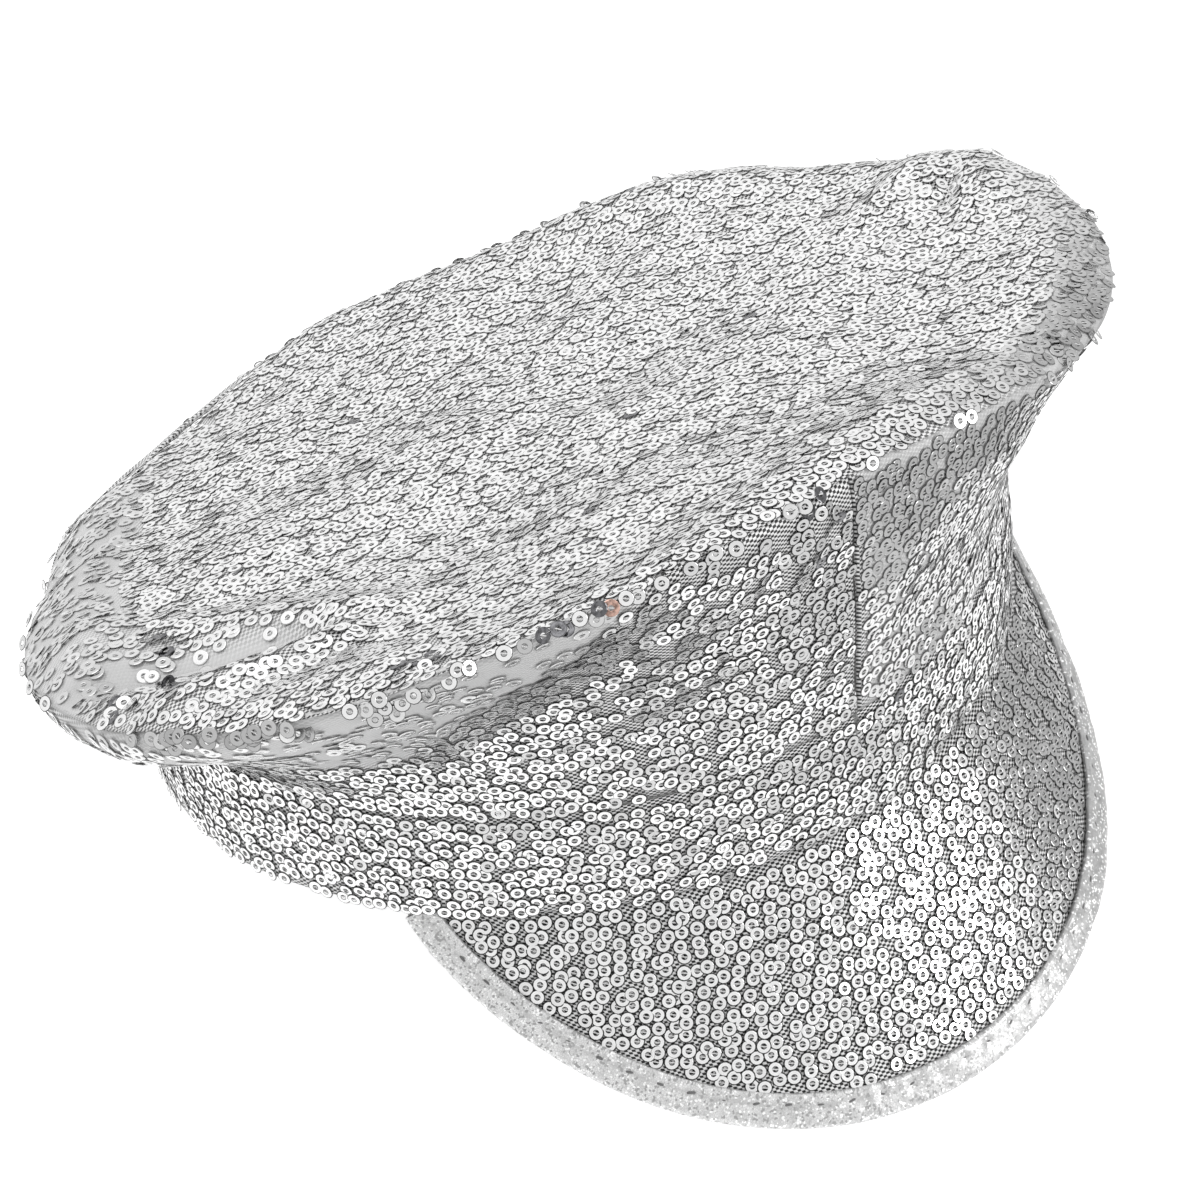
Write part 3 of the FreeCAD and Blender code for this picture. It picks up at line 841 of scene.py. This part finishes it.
# Sequins that stand clear along the rim's seam at the front right: azimuth, share of the side's
# height, kind and painted shade (below 0 painted lighter). A scratch script carried most of the places
# over from the photograph.
RIM_ROW = (
    (-56.5, 0.94, 0, -0.1), (-51.0, 0.99, 0, -0.1), (-49.8, 0.975, 0, 0.35), (-48.7, 1.0, 0, 0.2),
    (-48.4, 0.95, 0, 0.2), (-49.6, 0.9, 0, 0.3), (-47.1, 0.94, 0, 0.2), (-46.0, 0.955, 0, 0.1),
    (-45.0, 0.915, 0, 0.1), (-48.0, 0.87, 0, 0.35), (-43.1, 0.95, 0, -0.1), (-42.4, 1.0, 0, 0.1),
    (-41.5, 0.985, 0, 0.1), (-38.5, 0.995, 0, -0.1), (-36.7, 0.99, 0, 0.9), (-35.1, 1.0, 2, 0.0),
    (-33.2, 0.985, 2, 0.0), (-33.8, 1.0, 2, 0.0), (-32.0, 1.0, 0, -0.1), (-30.5, 0.97, 0, 0.5),
    (-30.2, 1.0, 2, 0.0), (-29.1, 0.985, 3, 0.0), (-27.6, 1.0, 0, -0.1), (-26.6, 0.99, 0, 0.0),
    (-24.1, 0.99, 0, 0.1), (-21.0, 0.98, 0, 0.2), (-18.2, 0.99, 0, 0.0), (-15.9, 0.97, 0, 0.2),
)
LOOSE_COUNT, GREY_COUNT = 46, 26


def rim_sequins():
    """Loose sequins that stand along the rim's seam, some of them turned, and some grey with painted shade.
    """
    row = np.array(RIM_ROW)
    azimuth = np.concatenate([row[:, 0], rng.uniform(-12, 285, LOOSE_COUNT),
                              rng.uniform(-72, -53, GREY_COUNT)])
    slip = np.abs(np.concatenate([rng.normal(0, 0.012, LOOSE_COUNT), rng.normal(0, 0.035, GREY_COUNT)]))
    share = np.concatenate([row[:, 1], 1.0 - slip])
    kinds = np.concatenate([row[:, 2], np.where(rng.random(LOOSE_COUNT) < 0.05, 2, 0), np.zeros(GREY_COUNT)])
    # Painted shade: the listed row as given (below 0 painted lighter), the loose ones a little greyer, and
    # the cluster at the front right grey.
    tone_and_painted_shade = np.concatenate([row[:, 3], rng.uniform(0, 0.4, LOOSE_COUNT), rng.uniform(0.8, 1.5, GREY_COUNT)])
    places = side_surface(azimuth, share)
    normal = unit(outward_of(azimuth) * 0.95 + np.array([0, 0, 0.55]) + rng.normal(0, 0.16, places.shape))
    along = unit(np.cross(np.array([0, 0, 1.0]), normal))
    unrest = 5.0 + 16.0 * (kinds == 2)
    # The grey ones get fainter painted shade at their edges.
    sequin_mesh("crown_rim_sequins", places, normal, along, 0.0, unrest, lift=0.8, tone_and_painted_shade=tone_and_painted_shade,
                kinds=kinds.astype(int), painted_edge_shade=np.where(tone_and_painted_shade > 0.3, 0.35, 0.8))


# ---------------------------------------------------------------- band

def make_band():
    """The band's cover: a wall with a rounded lower edge turned in as a hem."""
    azimuths = np.linspace(0, 360, 420, endpoint=False)
    top = band_height(azimuths)
    shares = np.linspace(0.07, 0.96, 18)
    hem = ((3.4, 0.55), (1.6, 0.15), (0.7, 0.1), (0.15, 0.6))
    rows = [(depth, 0 * azimuths + height) for depth, height in hem]
    rows += [(0.0, share * top) for share in shares] + [(0.3, top + 0.1), (1.0, top - 0.1)]
    points = np.stack([band_surface(azimuths, height) - outward_of(azimuths) * depth
                       for depth, height in rows])
    lengths = np.array([-4.0, -2.0, -1.0, 0.3] + list(shares * 24) + [24.6, 25.6])
    uv = np.stack(np.broadcast_arrays((azimuths * BAND_DEGREE)[None], lengths[:, None]), -1)
    return sheet_piece("band_cloth", points, uv, 0.6, KNIT, "band_cover", closed=True)


def band_sequins():
    degrees_per_mm = 360 / 597.0
    u, v = scattered(0.0, 596.0, 1.2, 24.6, 2.75, 0.2)
    azimuth = u * degrees_per_mm
    top = band_height(azimuth)
    keep = (v > 0.9) & (v < top - 0.3)
    azimuth, v = azimuth[keep], v[keep]
    places, normal, along = normals_of(band_surface, azimuth, v, 0.15)
    normal[(normal * outward_of(azimuth)).sum(1) < 0] *= -1
    sequin_mesh("band_sequins", places, normal, along, -3.0, 3.0, turned=0.001, tone_and_painted_shade=0.1, bevel=0.25)


# ---------------------------------------------------------------- visor

def visor_grid(depth, shrink, tuck=0.0, turns=121, rows=30):
    """A grid over the visor, shrunk in from its free edge, at a depth under its upper face.
    tuck is how far it reaches up behind the band's hem."""
    turn = np.linspace(-1, 1, turns) * math.pi / 2
    azimuth = (VISOR_HALF_ANGLE - 1.2) * np.sign(turn) * np.abs(np.sin(turn)) ** (2 / VISOR_FULLNESS)
    width = np.maximum(visor_width(azimuth) - shrink, 0.3)
    share = np.linspace(0, 1, rows)
    down = share[:, None] * (width + tuck)[None] - tuck
    grid = np.broadcast_to(azimuth[None], down.shape)
    return visor_surface(grid, down, depth), np.stack([grid * VISOR_DEGREE, down], -1)


VISOR_FACE = (0, -0.85, 0.5)


def make_visor_cover():
    points, uv = visor_grid(0.0, 1.6, 0.7)
    return sheet_piece("visor_cloth", points, uv, 0.7, KNIT_VISOR, "visor_top_cover",
                       face=VISOR_FACE)


def visor_sequins():
    u, v = scattered(-98.0, 98.0, 2.0, 56.0, 3.0, 0.16)
    azimuth = u / VISOR_DEGREE
    width = visor_width(azimuth)
    keep = (np.abs(azimuth) < VISOR_HALF_ANGLE - 1.0) & (v > 1.4) & (v < width - BINDING_WIDTH - 0.9)
    keep &= edge_distance(azimuth, v) > BINDING_WIDTH + 1.0
    azimuth, v = azimuth[keep], v[keep]
    places, normal, along = normals_of(visor_surface, azimuth, v, 0.15)
    normal[normal[:, 1] > 0] *= -1
    # Painted shade: the visor's half on the wearer's left (azimuth over 12) has greyer sequins, with fainter
    # painted shade at their edges.
    shaded = smooth((azimuth - 12.0) / 14.0)
    sequin_mesh("visor_sequins", places, normal, along, 1.5, 3.4, turned=0.001,
                tone_and_painted_shade=0.95 * shaded, painted_edge_shade=1.0 - 0.4 * shaded, bevel=0.28)


def edge_distance(azimuth, down):
    """Distance in mm from points on the visor to its free edge."""
    turn = np.linspace(-1, 1, 400) * math.pi / 2
    edge = VISOR_HALF_ANGLE * np.sign(turn) * np.abs(np.sin(turn)) ** (2 / VISOR_FULLNESS)
    line = visor_surface(edge, visor_width(edge))
    points = visor_surface(azimuth, down)
    return np.sqrt(((points[:, None] - line[None]) ** 2).sum(-1)).min(1)


def edge_frames(count, last_turn=88.0):
    """Evenly spaced stations on the visor's free edge: points, along, inward, normal, distance."""
    turn = np.radians(np.linspace(-last_turn, last_turn, 1500))
    azimuth = VISOR_HALF_ANGLE * np.sign(turn) * np.abs(np.sin(turn)) ** (2 / VISOR_FULLNESS)
    line = visor_surface(azimuth, visor_width(azimuth))
    run = np.concatenate([[0], np.cumsum(np.linalg.norm(np.diff(line, axis=0), axis=1))])
    even = np.linspace(0, run[-1], count)
    azimuth = np.interp(even, run, azimuth)
    points = np.stack([np.interp(even, run, line[:, k]) for k in range(3)], -1)
    along = unit(np.gradient(points, axis=0))
    down = visor_down(azimuth)
    width = visor_width(azimuth)
    step = 0.2
    ahead = band_point(azimuth + step) + visor_down(azimuth + step) * width[:, None]
    normal = unit(np.cross(ahead - (band_point(azimuth) + down * width[:, None]), down))
    normal[normal[:, 2] < 0] *= -1
    inward = unit(np.cross(normal, along))
    return points, along, inward, np.cross(along, inward), even


def binding_dent(run, inset):
    """How far the tape is pulled down at its stitches, and its small cross wrinkles, mm."""
    phase = (run / BINDING_STITCH_PITCH + 0.5) % 1.0 - 0.5
    pulled = (np.exp(-(phase * BINDING_STITCH_PITCH / 1.1) ** 2)
              * np.exp(-((inset - BINDING_STITCH_INSET) / 1.1) ** 2))
    wrinkle = lumps(run, inset * 0.5, 41, 5.0, 0.07) + lumps(run, inset, 42, 14.0, 0.12)
    return wrinkle - 0.30 * pulled


def make_binding():
    """Bias tape folded over the edge: a soft U section carried along it."""
    points, along, inward, normal, run = edge_frames(640)
    over, under = BINDING_WALL + 0.15, VISOR_STACK + 0.15
    middle = (over - under) / 2
    half = (over + under) / 2
    profile = [(BINDING_WIDTH, over - BINDING_WALL - 0.05), (BINDING_WIDTH, over - 0.1)]
    profile += [(inset, over) for inset in np.linspace(BINDING_WIDTH - 0.25, 1.2, 12)]
    for angle in np.linspace(60, -60, 7):
        a = math.radians(angle)
        profile.append((1.2 - 1.2 * math.cos(a), middle + half * math.sin(a) / math.sin(math.radians(75))))
    profile += [(inset, -under) for inset in np.linspace(1.2, BINDING_WIDTH - 0.25, 8)]
    profile += [(BINDING_WIDTH, -under + 0.1), (BINDING_WIDTH, -under + BINDING_WALL)]
    rows = []
    for inset, height in profile:
        dent = binding_dent(run, inset) * (1.0 if height > 0 else -0.6)
        rows.append(points + inward * inset + normal * (height + dent)[:, None])
    rows = np.stack(rows)
    across = np.concatenate([[0], np.cumsum(np.linalg.norm(np.diff(np.array(profile), axis=0), axis=1))])
    uv = np.stack(np.broadcast_arrays(run[None], across[:, None]), -1)
    return sheet_piece("visor_binding_tape", rows, uv, 0.35, FOIL_TAPE, "visor_binding",
                       face=VISOR_FACE)


def capsule(start, end, radius, sides=8):
    """Points and quads of a short thread between two points in mm, with rounded ends."""
    start, end = np.asarray(start), np.asarray(end)
    axis = (end - start) / np.linalg.norm(end - start)
    side = np.cross(axis, [0.3, 0.5, 0.8])
    side /= np.linalg.norm(side)
    other = np.cross(axis, side)
    turn = np.linspace(0, 2 * math.pi, sides, endpoint=False)
    circle = np.cos(turn)[:, None] * side + np.sin(turn)[:, None] * other
    rings = []
    for share, size in ((0.0, 0.05), (0.04, 0.7), (0.12, 1.0), (0.5, 1.1), (0.88, 1.0), (0.96, 0.7),
                        (1.0, 0.05)):
        rings.append(start + (end - start) * share + circle * radius * size)
    return np.concatenate(rings), grid_faces(len(rings), sides, closed=True)


def threads(name, pairs, radius, material, replaced=()):
    points, faces = [], []
    for start, end in pairs:
        more, quads = capsule(start, end, radius)
        faces.append(quads + sum(len(p) for p in points))
        points.append(more)
    piece = add_mesh(name, np.concatenate(points), np.concatenate(faces))
    return finish_piece(piece, material, replaced)


def make_binding_stitches():
    points, along, inward, normal, run = edge_frames(640)
    pairs = []
    for centre in np.arange(BINDING_STITCH_PITCH, run[-1] - 2, BINDING_STITCH_PITCH):
        k = int(np.argmin(np.abs(run - centre)))
        lean = along[k] * 0.8 + inward[k] * rng.normal(0.15, 0.2)
        middle = (points[k] + inward[k] * (BINDING_STITCH_INSET + rng.normal(0, 0.1))
                  + normal[k] * (BINDING_WALL + 0.12))
        half = lean / np.linalg.norm(lean) * rng.uniform(0.55, 0.95)
        pairs.append((middle - half, middle + half))
    return threads("visor_binding_thread", pairs, 0.26, STITCH_THREAD, ["visor_binding_stitches"])


def make_visor_lining():
    points, uv = visor_grid(VISOR_STACK - 0.4, 2.6)
    return sheet_piece("visor_lining_cloth", points, uv, 0.35, SATIN, "visor_lining",
                       face=(0, 0.85, -0.5), side=1.0)


# ---------------------------------------------------------------- inside

def make_top_lining():
    """Loose lining under the top, drooping a little with its own folds."""
    shares = np.linspace(0.02, 1.0, 46)
    azimuths = np.linspace(0, 360, 240, endpoint=False)
    share, azimuth = np.meshgrid(shares, azimuths, indexing="ij")
    r = share * (rim_radius(azimuth) - 7.6)
    x, y = r * np.sin(np.radians(azimuth)), -r * np.cos(np.radians(azimuth))
    depth = 3.9 + 1.2 * (1 - share ** 2) + lumps(x, y, 61, 30.0, 0.5)
    z = crown_height(r / rim_radius(azimuth), azimuth) - depth
    points = np.stack([x, y, z], -1)
    return sheet_piece("crown_top_lining_cloth", points, np.stack([x, y], -1), 0.35, SATIN,
                       "crown_top_lining", closed=True, face=(0, 0, -1), side=1.0)


def make_side_lining():
    azimuths = np.linspace(0, 360, 300, endpoint=False)
    shares = np.linspace(0.06, 0.92, 18)
    share, azimuth = np.meshgrid(shares, azimuths, indexing="ij")
    points = side_surface(azimuth, share, 2.9)
    uv = np.stack([azimuth * SIDE_DEGREE, share * side_height(azimuth)], -1)
    return sheet_piece("crown_side_lining_cloth", points, uv, 0.35, SATIN, "crown_side_lining",
                       closed=True, face=(0, 0, 1))


def make_front_stay():
    """Buckram behind the front of the crown, following the side as it hangs."""
    azimuths, shares = np.linspace(-48, 48, 97), np.linspace(0.06, 0.92, 20)
    share, azimuth = np.meshgrid(shares, azimuths, indexing="ij")
    points = side_surface(azimuth, share, 1.6)
    uv = np.stack([azimuth * SIDE_DEGREE, share * side_height(azimuth)], -1)
    return sheet_piece("crown_front_stay_sheet", points, uv, 0.8, BUCKRAM, "crown_front_stay")


def make_stiffener():
    """The buckram strip behind the band, following it all the way round."""
    azimuths = np.linspace(0, 360, 360, endpoint=False)
    top = band_height(azimuths)
    rows = np.stack([band_surface(azimuths, 1.0 + share * (top - 2.0), 1.4)
                     for share in np.linspace(0, 1, 12)])
    return sheet_piece("band_stiffener_strip", rows, None, 1.0, BUCKRAM, "band_stiffener",
                       closed=True)


def make_sweatband():
    """Ribbed tape inside the band."""
    azimuths = np.linspace(0, 360, 420, endpoint=False)
    top = band_height(azimuths) - 3.5
    shares = np.linspace(0.0, 1.0, 14)
    rows = []
    for share in shares:
        height = 1.0 + share * (top - 1.0)
        rib = 0.05 * np.sin(np.radians(azimuths * 210))
        rows.append(band_surface(azimuths, height, 3.4) + outward_of(azimuths) * rib[:, None])
    uv = np.stack(np.broadcast_arrays((azimuths * SWEATBAND_DEGREE)[None], (shares * 21)[:, None]), -1)
    return sheet_piece("sweatband_tape_ring", np.stack(rows), uv, 0.6, SWEAT_TAPE, "sweatband",
                       closed=True)


def make_sweatband_stitches():
    pairs = []
    for azimuth in np.arange(0, 360, 3.0):
        ends = band_surface(np.array([azimuth - 0.85, azimuth + 0.85]), np.array([4.0, 4.0]), 4.25)
        pairs.append((ends[0], ends[1]))
    return threads("sweatband_thread", pairs, 0.2, PALE_THREAD, ["sweatband_stitches"])


def paint_cad(node, material):
    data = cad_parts[node].data
    data.materials.clear()
    data.materials.append(material)


# ---------------------------------------------------------------- the cap

top = make_top()
top_sequins()
for quarter, first_azimuth in QUARTERS:
    make_side(quarter, first_azimuth)
    side_sequins(quarter, first_azimuth)
rim_sequins()
band = make_band()
band_sequins()
visor = make_visor_cover()
visor_sequins()
binding = make_binding()
make_binding_stitches()
visor_lining = make_visor_lining()
top_lining = make_top_lining()
side_lining = make_side_lining()
front_stay = make_front_stay()
sweatband = make_sweatband()
make_sweatband_stitches()
stiffener = make_stiffener()
paint_cad("visor_seam_flange", BUCKRAM)
paint_cad("visor_board", BOARD)


# ---------------------------------------------------------------- table, lights and camera

def make_table():
    """Pale table under the visor's tip and the back of the band, where the cap really rests."""
    tip = visor_surface(np.array([0.0]), np.array([VISOR_REACH]), VISOR_STACK)[0]
    tip = tip + np.array([0, -1.0, -1.0])
    back = np.array([0.0, BAND_HALF_LENGTH, -0.2])
    slope = math.atan2(back[2] - tip[2], back[1] - tip[1])
    bpy.ops.mesh.primitive_circle_add(vertices=96, radius=0.155, fill_type="NGON")
    table = bpy.context.object
    table.name = "table"
    table.rotation_euler = (slope, 0, 0)
    table.location = Vector((tip + back) / 2 * MM)
    s = Shader("pale_table")
    place = s.place()
    soft = s.noise(place, 40.0, 3.0)
    s.set(Base_Color=s.mix(soft, grey(0.56), grey(0.60)), Roughness=0.8)
    s.set(Emission_Color=grey(1.0), Emission_Strength=0.75)
    table.data.materials.append(s.material)


def area_light(name, place, target, width, height, watts):
    data = bpy.data.lights.new(name, "AREA")
    data.shape = "RECTANGLE"
    data.size, data.size_y, data.energy = width, height, watts
    lamp = bpy.data.objects.new(name, data)
    lamp.location = place
    lamp.rotation_euler = (Vector(target) - Vector(place)).to_track_quat("-Z", "Y").to_euler()
    bpy.context.scene.collection.objects.link(lamp)


def make_lights():
    area_light("key_softbox", (0.60, -1.0, 0.26), (0.02, -0.09, 0.0), 0.42, 0.42, 3.9)
    area_light("top_softbox", (-0.2, 0.1, 1.3), (0, 0, 0), 1.1, 1.1, 4.0)
    world = bpy.data.worlds.new("studio")
    bpy.context.scene.world = world
    world.use_nodes = True
    tree = world.node_tree
    direction = tree.nodes.new("ShaderNodeTexCoord").outputs["Generated"]

    def toward(aim, low, high, to_low, to_high):
        dot = tree.nodes.new("ShaderNodeVectorMath")
        dot.operation = "DOT_PRODUCT"
        dot.inputs[1].default_value = Vector(aim).normalized()
        tree.links.new(direction, dot.inputs[0])
        ramp = tree.nodes.new("ShaderNodeMapRange")
        ramp.interpolation_type = "SMOOTHSTEP"
        for number, value in enumerate((low, high, to_low, to_high), 1):
            ramp.inputs[number].default_value = value
        tree.links.new(dot.outputs["Value"], ramp.inputs[0])
        return ramp.outputs[0]

    def combine(operation, a, b):
        node = tree.nodes.new("ShaderNodeMath")
        node.operation = operation
        tree.links.new(a, node.inputs[0])
        tree.links.new(b, node.inputs[1])
        return node.outputs[0]

    walls = toward((0.35, 0.88, 0.3), -0.6, 0.6, 0.90, 1.06)
    ground = toward((0, 0, 1), -0.16, 0.02, 0.86, 1.0)
    corner = toward((0.93, -0.05, -0.30), 0.55, 0.95, 1.0, 0.66)
    backdrop = toward((0.4404, 0.6456, -0.6239), 0.960, 0.972, 0.0, 1.2)
    light = combine("MULTIPLY", combine("MULTIPLY", walls, ground), corner)
    background = tree.nodes["Background"]
    tree.links.new(combine("MAXIMUM", light, backdrop), background.inputs["Strength"])
    background.inputs["Color"].default_value = (1.0, 1.0, 1.0, 1.0)


CAMERA_AZIMUTH, CAMERA_ELEVATION, CAMERA_ROLL = -34.3, 38.6, -8.52
CAMERA_DISTANCE, CAMERA_LENS = 727.7, 117.65
CAMERA_TARGET = (-34.26, -65.85, 57.2)


def make_camera():
    a, e, roll = (math.radians(x) for x in (CAMERA_AZIMUTH, CAMERA_ELEVATION, CAMERA_ROLL))
    back = Vector((math.sin(a) * math.cos(e), -math.cos(a) * math.cos(e), math.sin(e)))
    level = Vector((math.cos(a), math.sin(a), 0.0))
    upright = back.cross(level)
    right = level * math.cos(roll) + upright * math.sin(roll)
    up = upright * math.cos(roll) - level * math.sin(roll)
    data = bpy.data.cameras.new("camera")
    data.lens, data.sensor_width = CAMERA_LENS, 36.0
    data.clip_start, data.clip_end = 0.01, 20.0
    camera = bpy.data.objects.new("camera", data)
    turned = Matrix((right, up, back)).transposed().to_4x4()
    turned.translation = Vector(CAMERA_TARGET) * MM + back * CAMERA_DISTANCE * MM
    camera.matrix_world = turned
    bpy.context.scene.collection.objects.link(camera)
    bpy.context.scene.camera = camera


make_table()
make_lights()
make_camera()
bpy.context.scene.view_settings.view_transform = "Standard"
